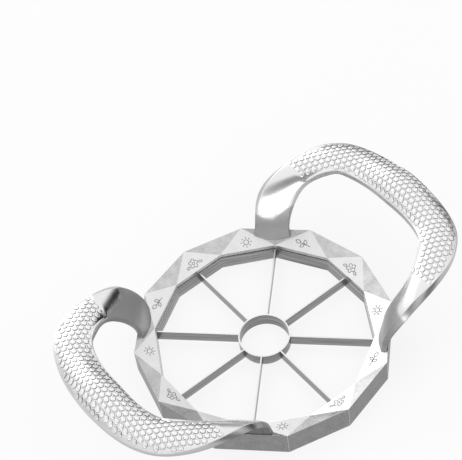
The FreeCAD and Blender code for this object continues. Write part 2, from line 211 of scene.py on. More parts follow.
def add_softbox(name, place, size, watts):
    """Square area lamp that faces the slicer."""
    lamp = bpy.data.lights.new(name, "AREA")
    lamp.size = size
    lamp.energy = watts
    box = bpy.data.objects.new(name, lamp)
    bpy.context.scene.collection.objects.link(box)
    box.location = place
    box.rotation_euler = Vector(place).to_track_quat("Z", "Y").to_euler()


add_softbox("softbox_behind", KEY_PLACE, KEY_SIZE, KEY_WATTS)
add_softbox("softbox_left", FILL_PLACE, FILL_SIZE, FILL_WATTS)

# ---------------------------------------------------------------- cast ring
# The ring of the aluminium casting: a funnel of 24 triangles round the opening, upright walls, a rim over the
# steel band, and a foot hollowed by the band's pocket and a relief groove. The triangles on the opening are
# grit-blasted and those between them ground. The walls and the foot keep their cast skin, painted darker as
# shade, and the edges carry a painted highlight besides their wear.

SIDES = 12
LEG_ANGLE = 45.0
HALF_TURN = 180.0 / SIDES
OPENING_APOTHEM = 45.0
INNER_HEIGHT = 8.5
FRAME_HEIGHT = 12.0
RIM_DEPTH = 2.0
CORNER_SHIFT = 1.2
BAND_PROUD = 0.3
BAND_WALL = 1.0
RELIEF_WALL = 2.0
RELIEF_DEPTH = 5.4
JOINT_HEIGHT = 0.3
JOINT_DEPTH = 0.6
RING_EDGE_ROUNDING = 0.22
CREASE_ANGLE = 4.0
# How far the ring's corners stay inside the CAD model's box.
BOX_MARGIN = 0.06
BLASTED, GROUND, SKIN_AND_SHADE, RIM, WORN_EDGE_AND_HIGHLIGHT = range(5)
outer_radius = cad_box[1][1] / MM - BOX_MARGIN


def inner_ring(apothem, height):
    """Points at 24 stations on a twelve-sided outline: its corners, and the middles of its sides between."""
    station = np.arange(2 * SIDES)
    angle = np.radians(LEG_ANGLE - HALF_TURN * station)
    radius = np.where(station % 2 == 0, apothem / math.cos(math.radians(HALF_TURN)), apothem)
    return np.stack([radius * np.cos(angle), radius * np.sin(angle), np.full(2 * SIDES, height)], axis=1)


def outer_ring(radius, height, shift):
    """The same stations on an outline whose corners lie between the inner ones.

    Corner k is half a step past inner corner k. The corners beside a leg, which are k = 0 and 2 of each
    three, are turned away from it by the shift. The stations between are the middles of the sides.
    """
    corner = np.arange(SIDES)
    away = np.where(corner % 3 == 0, -1, np.where(corner % 3 == 2, 1, 0)) * shift
    angle = np.radians(LEG_ANGLE - HALF_TURN - 2 * HALF_TURN * corner + away)
    corners = np.stack([radius * np.cos(angle), radius * np.sin(angle), np.full(SIDES, height)], axis=1)
    middles = (corners + np.roll(corners, 1, axis=0)) / 2
    return np.stack([middles, corners], axis=1).reshape(-1, 3)


pocket_apothem = OPENING_APOTHEM - BAND_PROUD + BAND_WALL
groove_bore = pocket_apothem + RELIEF_WALL
groove_radius = outer_radius - RELIEF_WALL / math.cos(math.radians(HALF_TURN))
ring_profile = np.stack([
    inner_ring(OPENING_APOTHEM, INNER_HEIGHT),
    outer_ring(outer_radius, FRAME_HEIGHT, CORNER_SHIFT),
    outer_ring(outer_radius, 0, CORNER_SHIFT),
    outer_ring(groove_radius, 0, 0),
    outer_ring(groove_radius, RELIEF_DEPTH, 0),
    inner_ring(groove_bore, RELIEF_DEPTH),
    inner_ring(groove_bore, 0),
    inner_ring(pocket_apothem, 0),
    inner_ring(pocket_apothem, INNER_HEIGHT - RIM_DEPTH),
    inner_ring(OPENING_APOTHEM + JOINT_DEPTH, INNER_HEIGHT - RIM_DEPTH),
    inner_ring(OPENING_APOTHEM, INNER_HEIGHT - RIM_DEPTH + JOINT_HEIGHT),
])
LOOPS = len(ring_profile)


def grid_quads(rows, columns):
    """Quads between neighbouring rows of a grid, whose last column joins its first."""
    row, column = np.meshgrid(np.arange(rows - 1), np.arange(columns), indexing="ij")
    following = (column + 1) % columns
    corners = [row * columns + column, row * columns + following,
               (row + 1) * columns + following, (row + 1) * columns + column]
    return np.stack(corners, axis=2).reshape(-1, 4)


def ring_faces():
    """Faces between the loops of the ring, the last of which joins the first, and each face's material.

    The funnel is split along its creases, each of which joins an inner corner to an outer corner beside it.
    All the other faces are quads, and the last ones are the rim's.
    """
    station = np.arange(2 * SIDES)
    following = (station + 1) % (2 * SIDES)
    quads = grid_quads(LOOPS + 1, 2 * SIDES)[2 * SIDES:] % (LOOPS * 2 * SIDES)
    outer = 2 * SIDES
    from_corner = station % 2 == 0
    blasted = np.where(from_corner[:, None],
                       np.stack([station, following, outer + following], axis=1),
                       np.stack([station, following, outer + station], axis=1))
    ground = np.where(from_corner[:, None],
                      np.stack([station, outer + following, outer + station], axis=1),
                      np.stack([following, outer + following, outer + station], axis=1))
    kinds = np.repeat([BLASTED, GROUND, SKIN_AND_SHADE], [len(blasted), len(ground), len(quads)])
    kinds[-2 * SIDES:] = RIM
    return blasted.tolist() + ground.tolist() + quads.tolist(), kinds


faces, kinds = ring_faces()
ring = new_mesh_object("cast_ring", ring_profile.reshape(-1, 3) * MM, faces)

# The grain of blasted metal is about 0.1 mm wide. It is drawn three times as wide, so that it shows.
GRIT = 0.3
CLOUD = 5.0
CLOUD_SHARE = 0.45
GLOSS_SWING = 0.06
# Nearly all of a noise lies between these two values.
NOISE_LOW = 0.3
NOISE_HIGH = 0.7


def cast_material(name, dark, pale, roughness, relief, stretch=(1, 1, 1)):
    """Cast aluminium, its grain, faint clouds and uneven gloss as noise in the metal's own millimetres.

    A stretch under 1 draws the grain out along its axis, as a mould does upwards and rubbing does sideways.
    """
    material, tree, shader = new_material(name, {"Metallic": 1.0})
    place = add_node(tree, "ShaderNodeTexCoord")
    drawn = add_node(tree, "ShaderNodeMapping", {"Vector": place.outputs["Object"], "Scale": stretch})
    grain = add_node(tree, "ShaderNodeTexNoise", {
        "Vector": drawn.outputs["Vector"], "Scale": 1 / (GRIT * MM), "Detail": 2.0, "Roughness": 0.6})
    clouds = add_node(tree, "ShaderNodeTexNoise", {
        "Vector": place.outputs["Object"], "Scale": 1 / (CLOUD * MM), "Detail": 4.0, "Roughness": 0.6})
    specks = add_node(tree, "ShaderNodeMix", {
        "Factor": CLOUD_SHARE, "A": grain.outputs["Fac"], "B": clouds.outputs["Fac"]}, data_type="FLOAT")
    contrast = add_node(tree, "ShaderNodeMapRange", {
        "Value": specks.outputs["Result"], "From Min": NOISE_LOW, "From Max": NOISE_HIGH},
        interpolation_type="SMOOTHSTEP")
    mottled = add_node(tree, "ShaderNodeMix", {
        "Factor": contrast.outputs["Result"], "A": linear(dark), "B": linear(pale)}, data_type="RGBA")
    tree.links.new(mottled.outputs["Result"], shader.inputs["Base Color"])
    bump = add_node(tree, "ShaderNodeBump", {
        "Strength": 1.0, "Distance": relief * MM, "Height": grain.outputs["Fac"]})
    tree.links.new(bump.outputs["Normal"], shader.inputs["Normal"])
    rough = add_node(tree, "ShaderNodeMapRange", {
        "Value": clouds.outputs["Fac"], "From Min": NOISE_LOW, "From Max": NOISE_HIGH,
        "To Min": roughness - GLOSS_SWING, "To Max": roughness + GLOSS_SWING})
    tree.links.new(rough.outputs["Result"], shader.inputs["Roughness"])
    return material


def join_casting(piece):
    """Makes a piece part of the one aluminium casting."""
    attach(piece, "root")
    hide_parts("cast_frame")


ring_materials = {
    # Grit-blasted: pale and evenly satin, with a faint grain.
    BLASTED: cast_material(
        "cast aluminium, grit-blasted", dark="E6E6E6", pale="F7F7F7", roughness=0.4, relief=0.022),
    # Ground: smoother than the blasted faces, so it shows what stands beside it, blurred and finely speckled.
    GROUND: cast_material(
        "cast aluminium, ground", dark="B6B6B6", pale="E6E6E6", roughness=0.3, relief=0.02),
    # As-cast skin of the walls and the foot, with a fine upright draw from the mould: dull grey, and painted
    # darker still as the shade on the walls that face away from the light.
    SKIN_AND_SHADE: cast_material(
        "cast aluminium, as-cast skin, with painted shade", dark="7C7C7C", pale="9A9A9A", roughness=0.42, relief=0.014,
        stretch=(1, 1, 0.3)),
    # The rim over the band, rubbed lighter and along its length by the wedges that pass it.
    RIM: cast_material(
        "cast aluminium, rubbed rim", dark="9E9E9E", pale="C0C0C0", roughness=0.34, relief=0.012,
        stretch=(0.25, 0.25, 1)),
    # Edges and creases, worn, and painted brighter as a highlight along them.
    WORN_EDGE_AND_HIGHLIGHT: cast_material(
        "cast aluminium, worn edges, with painted highlight", dark="DEDEDE", pale="F3F3F3", roughness=0.3, relief=0.008),
}
for kind in sorted(ring_materials):
    ring.data.materials.append(ring_materials[kind])
ring.data.polygons.foreach_set("material_index", kinds.astype(np.int32))
ring.data.polygons.foreach_set("use_smooth", np.ones(len(kinds), bool))
edge_rounding = ring.modifiers.new("edge_rounding", "BEVEL")
edge_rounding.width = RING_EDGE_ROUNDING * MM
edge_rounding.segments = 2
edge_rounding.limit_method = "ANGLE"
edge_rounding.angle_limit = math.radians(CREASE_ANGLE)
edge_rounding.material = WORN_EDGE_AND_HIGHLIGHT
flat_faces = ring.modifiers.new("flat_faces", "WEIGHTED_NORMAL")
flat_faces.keep_sharp = True
join_casting(ring)

# ---------------------------------------------------------------- handles
# Each handle is one loop of the same casting. It stands on the ring as a flat leg, turns over the shoulder
# and becomes a crowned grip, hollowed underneath. Crown and sides are polished down to a collar at each root,
# which stays as it was cast. The back and the grip's outer flank carry a dark painted shade, darker than the
# cast skin.

GRIP_LEVEL = 38.1
LOOP_REACH = 43.5
LOOP_BULGE = 3.1
ROOT_SHIFT = 1.2
ROOT_INSET = 0.1
ROOT_CLEARANCE = 0.4
# Places on the middle line, as shares of the loop's reach, of its greatest half width and of its rise.
COLLAR = (0.003, 0.925, 0.1)
LEAN = (0.2, 1, 0.705)
SHOULDER = (0.338, 0.995, 0.868)
FAR_BEND = (0.863, 0.738, 1.029)
GRIP_END = (0.916, 0.626, 1.008)
GRIP_MIDDLE = (1, 0, 1)
LEG_SQUARE_UNTIL = 0.26
GRIP_SQUARE_FROM = 0.67
STATIONS = 361
FINE_STEPS = 20


def smooth_step(number):
    """Rises smoothly from 0 to 1 as the number does, and stays level outside that range."""
    number = np.clip(number, 0, 1)
    return number * number * (3 - 2 * number)


def handle_points():
    """Points of the +X handle's middle line, from the +Y root over the grip to the -Y root."""
    radial = outer_radius * math.cos(math.radians(HALF_TURN + CORNER_SHIFT)) - ROOT_INSET - LEG_EDGE
    turn = math.radians(LEG_ANGLE)
    root = np.array([radial * math.cos(turn) - ROOT_SHIFT * math.sin(turn),
                     radial * math.sin(turn) + ROOT_SHIFT * math.cos(turn)])
    widest = root[1] + LOOP_BULGE
    rise = GRIP_LEVEL - FRAME_HEIGHT
    shares = np.array([COLLAR, LEAN, SHOULDER, FAR_BEND, GRIP_END, GRIP_MIDDLE])
    run = np.stack([root[0] + shares[:, 0] * LOOP_REACH, shares[:, 1] * widest,
                    FRAME_HEIGHT + shares[:, 2] * rise], axis=1)
    first = np.array([[*root, INNER_HEIGHT - RIM_DEPTH + ROOT_CLEARANCE]])
    half = np.concatenate([first, run])
    return np.concatenate([half, half[-2::-1] * [1, -1, 1]])


def smooth_line(points, count):
    """Distances, points and directions, evenly spaced along a cubic spline through the given points.

    The spline is a Hermite cubic on each chord, its parameter the chord length. Its slopes make the curvature
    run on through each point, and the slope at either end is that of the parabola through the three points
    there. Even spacing comes from adding up the lengths of FINE_STEPS times as many short steps.
    """
    chord = np.linalg.norm(np.diff(points, axis=0), axis=1)
    knots = np.concatenate([[0], np.cumsum(chord)])
    slope = np.diff(points, axis=0) / chord[:, None]
    size = len(points)
    system = np.eye(size)
    right = np.zeros_like(points)
    inner = np.arange(1, size - 1)
    system[inner, inner - 1] = chord[1:]
    system[inner, inner] = 2 * (chord[1:] + chord[:-1])
    system[inner, inner + 1] = chord[:-1]
    right[1:-1] = 3 * (chord[1:, None] * slope[:-1] + chord[:-1, None] * slope[1:])
    right[0] = slope[0] - (slope[1] - slope[0]) * chord[0] / (chord[0] + chord[1])
    right[-1] = slope[-1] + (slope[-1] - slope[-2]) * chord[-1] / (chord[-1] + chord[-2])
    slopes = np.linalg.solve(system, right)

    def evaluate(place):
        piece = np.clip(np.searchsorted(knots, place, side="right") - 1, 0, size - 2)
        step = chord[piece][:, None]
        t = (place - knots[piece])[:, None] / step
        start, end = points[piece], points[piece + 1]
        leave, arrive = slopes[piece] * step, slopes[piece + 1] * step
        spot = ((2 * t ** 3 - 3 * t ** 2 + 1) * start + (t ** 3 - 2 * t ** 2 + t) * leave
                + (3 * t ** 2 - 2 * t ** 3) * end + (t ** 3 - t ** 2) * arrive)
        course = ((6 * t ** 2 - 6 * t) * (start - end) + (3 * t ** 2 - 4 * t + 1) * leave
                  + (3 * t ** 2 - 2 * t) * arrive) / step
        return spot, course

    fine = np.linspace(0, knots[-1], FINE_STEPS * count)
    spots, _ = evaluate(fine)
    travelled = np.concatenate([[0], np.cumsum(np.linalg.norm(np.diff(spots, axis=0), axis=1))])
    distance = np.linspace(0, travelled[-1], count)
    spots, courses = evaluate(np.interp(distance, travelled, fine))
    return distance, spots, courses / np.linalg.norm(courses, axis=1)[:, None]


def section_frames(courses, way):
    """Directions across the band and out of it, at each station from the +Y root to the grip's middle.

    Across is level: square to the frame's radius on the leg, square to the path seen from above on the grip,
    and turned smoothly from one to the other over the shoulder.
    """
    level = courses[:, :2] / np.linalg.norm(courses[:, :2], axis=1)[:, None]
    turned = smooth_step((way - LEG_SQUARE_UNTIL) / (GRIP_SQUARE_FROM - LEG_SQUARE_UNTIL))[:, None]
    radius = np.array([math.cos(math.radians(LEG_ANGLE)), math.sin(math.radians(LEG_ANGLE))])
    heading = radius * (1 - turned) + level * turned
    across = np.stack([heading[:, 1], -heading[:, 0], np.zeros(len(way))], axis=1)
    across /= np.linalg.norm(across, axis=1)[:, None]
    out = np.cross(across, courses)
    return across, out / np.linalg.norm(out, axis=1)[:, None]


LEG_WIDTH = 14.8
LEG_EDGE = 2.4
LEG_CROWN = 0.6
GRIP_WIDTH = 17.4
GRIP_EDGE = 2.5
GRIP_CROWN = 6.5
CROWN_POWER = 2.5
SHOULDER_DRAFT = 1.8
DRAFT_FROM = 0.05
DRAFT_UNTIL = 0.65
FLARE_HEIGHT = 9.0
FLARE_SPREAD = 2.2
CHANNEL_WALL = 2.6
CHANNEL_COVER = 3.2
CHANNEL_DRAFT = 0.45
CHANNEL_LEAD = 0.5
CHANNEL_LEAN = 0.6
EDGE_ROUNDING = 0.35
LIP_ROUNDING = 0.25
ARCH_POINTS = 41
CORNER_POINTS = 4


def section_sizes(distance):
    """Sizes of the band's section at distances from its nearer root.

    The half width, the side walls and the crown run from the leg's sizes to the grip's, the crown as the
    square of a sine of a power of the way. At the root the section spreads by the square of what is left
    of the flare, and over the shoulder its back is wider by the square of a sine. The channel deepens with
    the crown, less CHANNEL_LEAD, and leaves CHANNEL_COVER of metal under the grip's ridge.
    """
    way = distance / half_length
    flare = FLARE_SPREAD * np.clip(1 - distance / FLARE_HEIGHT, 0, 1) ** 2
    crowned = np.sin(math.pi / 2 * way ** CROWN_POWER) ** 2
    half = (LEG_WIDTH + (GRIP_WIDTH - LEG_WIDTH) * way ** 2) / 2 + flare
    edge = LEG_EDGE + (GRIP_EDGE - LEG_EDGE) * way
    crown = LEG_CROWN + (GRIP_CROWN - LEG_CROWN) * crowned + flare
    drafted = np.clip((way - DRAFT_FROM) / (DRAFT_UNTIL - DRAFT_FROM), 0, 1)
    foot = half + SHOULDER_DRAFT * np.sin(math.pi * drafted) ** 2
    deepest = GRIP_EDGE + GRIP_CROWN - CHANNEL_COVER + CHANNEL_LEAD
    hollow = np.maximum(deepest * crowned - CHANNEL_LEAD, 0)
    opening = 2 * np.arctan(crown / half)
    return half, foot, edge, crown, hollow, opening, half / np.sin(opening)


STUD_HEIGHT = 0.38
FIELD_START = 53.0
FIELD_FADE = 3.0
MARGIN_FADE = 1.0
OUTER_MARGIN = 0.1
LOOP_MARGIN = 0.6


def stud_field(forward, arc, half_arc):
    """How far the grip is sunk between its studs, from 0 to 1.

    Seen from above, the field starts at a straight line, at FIELD_START forward of the slicer's middle. It
    stops short of both edges of the band, and each border is a smooth step.
    """
    along = smooth_step((forward - FIELD_START) / FIELD_FADE + 0.5)
    return (along * smooth_step((half_arc - LOOP_MARGIN - arc) / MARGIN_FADE + 0.5)
            * smooth_step((half_arc - OUTER_MARGIN + arc) / MARGIN_FADE))


def rounded(before, corner, after, reach):
    """Points of a parabola that rounds a corner: it leaves one side and meets the other at the reach."""
    def towards(point):
        step = point - corner
        return corner + step / np.linalg.norm(step, axis=1, keepdims=True) * reach
    t = np.linspace(0, 1, CORNER_POINTS)[None, :, None]
    start, end = towards(before)[:, None], towards(after)[:, None]
    return (1 - t) ** 2 * start + 2 * t * (1 - t) * corner[:, None] + t ** 2 * end


def handle_outline(distance, middle, across, sunk):
    """Outline of the band at each station: arched top, drafted sides, channel in the back.

    The arch is part of a circle through the crown and both edges, in the stud field sunk along its radius.
    Returns the outline, and the arc's length from the ridge at each column of the arch.
    """
    half, foot, edge, crown, hollow, opening, bow = section_sizes(distance)
    reach = 1 - 2 * EDGE_ROUNDING / (bow * opening)
    arc = np.linspace(-1, 1, ARCH_POINTS)[None] * (bow * opening * reach)[:, None]
    turn = arc / bow[:, None]
    forward = middle[:, :1] + bow[:, None] * np.sin(turn) * across[:, :1]
    radius = bow[:, None] - sunk * stud_field(forward, arc, (bow * opening)[:, None])
    arch = np.stack([radius * np.sin(turn), radius * np.cos(turn) + (crown - bow)[:, None]], axis=2)
    mouth = half - CHANNEL_WALL
    narrow = mouth - np.maximum(CHANNEL_DRAFT * hollow, CHANNEL_LEAN)
    right = [np.stack(pair, axis=1) for pair in (
        (half, 0 * half), (foot, -edge), (mouth, -edge), (narrow, hollow - edge))]
    left = [corner * [-1, 1] for corner in right[::-1]]
    corners = [arch[:, -1], *right, *left, arch[:, 0]]
    roundings = [EDGE_ROUNDING, EDGE_ROUNDING, LIP_ROUNDING, 2 * LIP_ROUNDING]
    bends = [rounded(*corners[i:i + 3], reach) for i, reach in enumerate(roundings + roundings[::-1])]
    return np.concatenate([arch, *bends], axis=1), arc


full_distance, spots, courses = smooth_line(handle_points(), STATIONS)
half_length = full_distance[-1] / 2
half_count = STATIONS // 2 + 1
distance = full_distance[:half_count]
across, out = section_frames(courses[:half_count], distance / half_length)


def loft_handle(sunk):
    """Points of the handle's outlines at all its stations, and the arc lengths of their arches."""
    outline, arc = handle_outline(distance, spots[:half_count], across, sunk)
    half = spots[:half_count, None] + outline[:, :, :1] * across[:, None] + outline[:, :, 1:] * out[:, None]
    return np.concatenate([half, half[-2::-1] * [1, -1, 1]]), arc


handle_grid, arc = loft_handle(STUD_HEIGHT)

COLLAR_BOW = 0.045
COLLAR_SLANT = 0.93
POLISH_FADE = 2.0
WALL_SHARE = 0.55
BACK_SHARE = 0.9
FLANK_FROM = 45.0
FLANK_LENGTH = 30.0
FLANK_WIDTH = 0.35


def flank(along, share):
    """Where the grip's outer flank lies, from 0 on the crown to 1 at its outer edge.

    It is told from the distance along the band and the share of the way across, which runs from -1 at the
    outer edge to 1 on the loop's side. Both borders are smooth steps.
    """
    outwards = smooth_step(1 - (share + 1) / FLANK_WIDTH)
    return smooth_step((along - FLANK_FROM) / FLANK_LENGTH) * outwards


def outline_mask(crown):
    """Mask of the whole outlines, from a mask of their crowns.

    Each side wall starts with its edge of the crown and fades evenly to WALL_SHARE of it. The back has none.
    """
    mask = np.zeros((half_count, handle_grid.shape[1]))
    wall = CORNER_POINTS + 1
    fade = np.linspace(1, WALL_SHARE, wall)[None]
    mask[:, :ARCH_POINTS] = crown
    mask[:, ARCH_POINTS:ARCH_POINTS + wall] = crown[:, -1:] * fade
    mask[:, -wall:] = crown[:, :1] * fade[:, ::-1]
    return mask


def polish_mask(collar, far_collar):
    """Polish at each point of the handle's grid, from 0 as cast to 1 bright.

    The crown is polished from a line over each leg's collar. The line rises with the square of the distance
    from the ridge on the outer side, and in proportion to it on the loop's side.
    """
    halves = []
    for top in (collar, far_collar):
        border = top + np.where(arc < 0, COLLAR_BOW * arc ** 2, COLLAR_SLANT * arc)
        halves.append(outline_mask(smooth_step((distance[:, None] - border) / POLISH_FADE)))
    return np.concatenate([halves[0], halves[1][-2::-1]])


def unrubbed_mask(flank_share):
    """How much dark painted shade lies at each point of the handle's grid, from 0 to 1.

    The outer flank gets the given share and the back BACK_SHARE, which the side walls run towards.
    """
    half = outline_mask(flank(distance[:, None], arc / arc[:, -1:])) * flank_share
    half = np.maximum(half, (1 - outline_mask(np.ones(arc.shape))) * BACK_SHARE)
    return np.concatenate([half, half[-2::-1]])


def tube_faces(rows, columns):
    """Quads of a tube on a grid, closed by a many-sided cap on each end."""
    caps = [list(range(columns - 1, -1, -1)), list(range((rows - 1) * columns, rows * columns))]
    return grid_quads(rows, columns).tolist() + caps


def new_piece(name, points, faces, side=1, **masks):
    """Smooth piece of the casting from points in millimetres, with a mask per point for each attribute.

    The -X side's piece is the mirror image, with its faces turned back to point outwards.
    """
    places = points.reshape(-1, 3) * [side, 1, 1] * MM
    piece = new_mesh_object(name, places, [face[::side] for face in faces])
    piece.data.polygons.foreach_set("use_smooth", np.ones(len(faces), bool))
    for attribute, mask in masks.items():
        layer = piece.data.attributes.new(attribute, "FLOAT", "POINT")
        layer.data.foreach_set("value", mask.reshape(-1).astype(np.float32))
    join_casting(piece)
    return piece


POLISHED = "F1F1F1"
# Dark grey painted shade on the handles' backs and outer flanks, darker than their cast skin.
PAINTED_SHADE_GREY = "5E5E5E"
SKIN_DARK = "9E9E9E"
SKIN_PALE = "CECECE"
POLISHED_ROUGHNESS = 0.2
SKIN_ROUGHNESS = 0.45
POLISHED_BUMP = 0.03
SKIN_BUMP = 0.6
SKIN_RELIEF = 0.04
SMEAR = 7.0
SMEAR_GLOSSIER = 0.03
SMEAR_DULLER = 0.05
# Polished over its skin: bright and glossy on the crown, with faint smears. The collars are dull and finely
# grained, and a dark painted shade lies on the back and the grip's outer flank.
handle_metal, tree, shader = new_material("cast aluminium, polished over its skin, with painted shade", {"Metallic": 1.0})
place = add_node(tree, "ShaderNodeTexCoord")
polish = add_node(tree, "ShaderNodeAttribute", attribute_name="polish")
grain = add_node(tree, "ShaderNodeTexNoise", {
    "Vector": place.outputs["Object"], "Scale": 1 / (GRIT * MM), "Detail": 3.0, "Roughness": 0.6})
smears = add_node(tree, "ShaderNodeTexNoise", {
    "Vector": place.outputs["Object"], "Scale": 1 / (SMEAR * MM), "Detail": 3.0})
skin = add_node(tree, "ShaderNodeMix", {
    "Factor": grain.outputs["Fac"], "A": linear(SKIN_DARK), "B": linear(SKIN_PALE)}, data_type="RGBA")
metal = add_node(tree, "ShaderNodeMix", {
    "Factor": polish.outputs["Fac"], "A": skin.outputs["Result"], "B": linear(POLISHED)}, data_type="RGBA")
unrubbed = add_node(tree, "ShaderNodeAttribute", attribute_name="unrubbed")
metal = add_node(tree, "ShaderNodeMix", {
    "Factor": unrubbed.outputs["Fac"], "A": metal.outputs["Result"], "B": linear(PAINTED_SHADE_GREY)}, data_type="RGBA")
tree.links.new(metal.outputs["Result"], shader.inputs["Base Color"])
rough = add_node(tree, "ShaderNodeMapRange", {
    "Value": polish.outputs["Fac"], "To Min": SKIN_ROUGHNESS, "To Max": POLISHED_ROUGHNESS})
smeared = add_node(tree, "ShaderNodeMapRange", {
    "Value": smears.outputs["Fac"], "From Min": NOISE_LOW, "From Max": NOISE_HIGH,
    "To Min": -SMEAR_GLOSSIER, "To Max": SMEAR_DULLER})
uneven = add_node(tree, "ShaderNodeMath", {
    0: rough.outputs["Result"], 1: smeared.outputs["Result"]}, operation="ADD")
tree.links.new(uneven.outputs["Value"], shader.inputs["Roughness"])
unpolished = add_node(tree, "ShaderNodeMapRange", {
    "Value": polish.outputs["Fac"], "To Min": SKIN_BUMP, "To Max": POLISHED_BUMP})
bump = add_node(tree, "ShaderNodeBump", {
    "Strength": unpolished.outputs["Result"], "Distance": SKIN_RELIEF * MM, "Height": grain.outputs["Fac"]})
tree.links.new(bump.outputs["Normal"], shader.inputs["Normal"])

# Each handle has its side, and its collars' distances from the +Y root and from the -Y root.
COLLARS = {"handle_right": (1, 12.3, 22.0), "handle_left": (-1, 24.5, 19.0)}
# The right grip's outer flank gets most of the painted shade, and the left one's a little.
PAINTED_SHADE_ON_FLANKS = {1: 0.85, -1: 0.25}
handle_faces = tube_faces(*handle_grid.shape[:2])
for name, (side, *collars) in COLLARS.items():
    handle = new_piece(name, handle_grid, handle_faces, side,
                       polish=polish_mask(*collars), unrubbed=unrubbed_mask(PAINTED_SHADE_ON_FLANKS[side]))
    handle.data.materials.append(handle_metal)

# ---------------------------------------------------------------- grip studs
# The grip is cast with rows of small rounded six-sided studs, each row set half a step from the next, so that
# wet hands don't slip. Hands rub their tops bright, and their steep sides are painted grey as shade.

STUD_PITCH = 2.69
STUD_REACH = 1.12
STUD_CORNERS = 0.9
STUD_SPOKES = 12
# Rings of a stud from its foot, which is sunk in the metal, to its top: their width and height as shares.
STUD_RINGS = ((1.0, -0.1), (0.9, 0.5), (0.76, 0.88), (0.45, 0.98), (0.0, 1.0))
# Rows and steps of the honeycomb, counted from the slicer's middle: more than a grip needs.
STUD_ROWS = 40
# A stud stands where the grip round it is sunk by more than this share.
FIELD_SHARE = 0.6


def stud_middles():
    """Middles of the studs seen from above: a honeycomb grid with one row of its steps along Y."""
    column, step = np.meshgrid(np.arange(STUD_ROWS), np.arange(-STUD_ROWS, STUD_ROWS), indexing="ij")
    forward = column * STUD_PITCH * math.sqrt(3) / 2
    sideways = (step + column % 2 / 2) * STUD_PITCH
    return np.stack([forward.ravel(), sideways.ravel()], axis=1)


def crown_tree():
    """The crown before it is sunk, for plumb lines to meet, with its field and its flank at each face."""
    grid, _ = loft_handle(0)
    crown = grid[:, :ARCH_POINTS]
    rows, columns = crown.shape[:2]
    quads = grid_quads(rows, columns)
    quads = quads[quads[:, 0] % columns != columns - 1]
    sunk = np.linalg.norm(crown - handle_grid[:, :ARCH_POINTS], axis=2).ravel() / STUD_HEIGHT
    nearer = np.minimum(full_distance, full_distance[-1] - full_distance)
    outer = flank(nearer[:, None], np.linspace(-1, 1, columns)).ravel()
    first = quads[:, 0]
    return BVHTree.FromPolygons(crown.reshape(-1, 3).tolist(), quads.tolist()), sunk[first], outer[first]


def stud_outline():
    """Outline of a hexagon with blunt corners, two of them on X.

    Its reach lies the share STUD_CORNERS of the way from a circle's to that of the hexagon round it.
    """
    spoke = np.arange(STUD_SPOKES) * 2 * math.pi / STUD_SPOKES
    hexagon = 1 / np.cos(spoke % (math.pi / 3) - math.pi / 6)
    reach = STUD_REACH * (1 - STUD_CORNERS + STUD_CORNERS * hexagon)
    return np.stack([reach * np.cos(spoke), reach * np.sin(spoke)], axis=1)


def stud_mesh():
    """Points, faces, rise and flank of all the studs: rings of each, from a foot in the metal to a flat top.

    The pattern was cut into the mould from above, so each point is dropped on the crown along a plumb line.
    It is then lowered, square to the crown at the stud's middle, by what it lacks of the stud's height.
    """
    crown, sunk, outer = crown_tree()
    down = Vector((0, 0, -1))
    start_height = 2 * GRIP_LEVEL
    outline = stud_outline()
    rings = np.concatenate([outline * size for size, _ in STUD_RINGS[:-1]] + [np.zeros((1, 2))])
    rise = np.append(np.repeat([height for _, height in STUD_RINGS[:-1]], STUD_SPOKES), STUD_RINGS[-1][1])
    points, flanks = [], []
    for x, y in stud_middles().tolist():
        middle, up, face, _ = crown.ray_cast(Vector((x, y, start_height)), down)
        if face is None or sunk[face] < FIELD_SHARE:
            continue
        for (forward, sideways), share in zip(rings.tolist(), rise.tolist()):
            spot, _, _, _ = crown.ray_cast(Vector((x + forward, y + sideways, start_height)), down)
            if spot is None:
                spot, _, _, _ = crown.find_nearest(Vector((x + forward, y + sideways, middle.z)))
            points.append(spot + up * ((share - 1) * STUD_HEIGHT))
        flanks.append(outer[face])
    size = len(rings)
    quads = grid_quads(len(STUD_RINGS) - 1, STUD_SPOKES)
    last = size - 1 - STUD_SPOKES + np.arange(STUD_SPOKES)
    top = np.stack([last, np.roll(last, -1), np.full(STUD_SPOKES, size - 1)], axis=1)
    foot = np.arange(STUD_SPOKES)[None, ::-1]
    start = np.arange(len(flanks))[:, None, None] * size
    faces = []
    for part in (quads, top, foot):
        faces += (start + part).reshape(-1, part.shape[1]).tolist()
    return np.array(points), faces, np.tile(rise, len(flanks)), np.repeat(flanks, size)


# Grey painted shade on the studs' sides, and the bright of their rubbed tops.
STUD_SIDE_SHADE = "868686"
STUD_BRIGHT = "FCFCFC"
BRIGHT_TOP_FROM = 0.4
BRIGHT_TOP_UNTIL = 0.85
STUD_SIDE_ROUGHNESS = 0.5
STUD_TOP_ROUGHNESS = 0.3
STUD_BUMP = 0.3
STUD_RELIEF = 0.03
# Rubbed bright on top, with grey painted shade on the rougher sides, so that each stud shows in a grey
# outline.
stud_metal, tree, shader = new_material("cast aluminium, studs rubbed bright", {"Metallic": 1.0})
place = add_node(tree, "ShaderNodeTexCoord")
rise = add_node(tree, "ShaderNodeAttribute", attribute_name="rise")
grain = add_node(tree, "ShaderNodeTexNoise", {
    "Vector": place.outputs["Object"], "Scale": 1 / (GRIT * MM), "Detail": 3.0})
rubbed = add_node(tree, "ShaderNodeMapRange", {
    "Value": rise.outputs["Fac"], "From Min": BRIGHT_TOP_FROM, "From Max": BRIGHT_TOP_UNTIL},
    interpolation_type="SMOOTHSTEP")
metal = add_node(tree, "ShaderNodeMix", {
    "Factor": rubbed.outputs["Result"], "A": linear(STUD_SIDE_SHADE), "B": linear(STUD_BRIGHT)}, data_type="RGBA")
unrubbed = add_node(tree, "ShaderNodeAttribute", attribute_name="unrubbed")
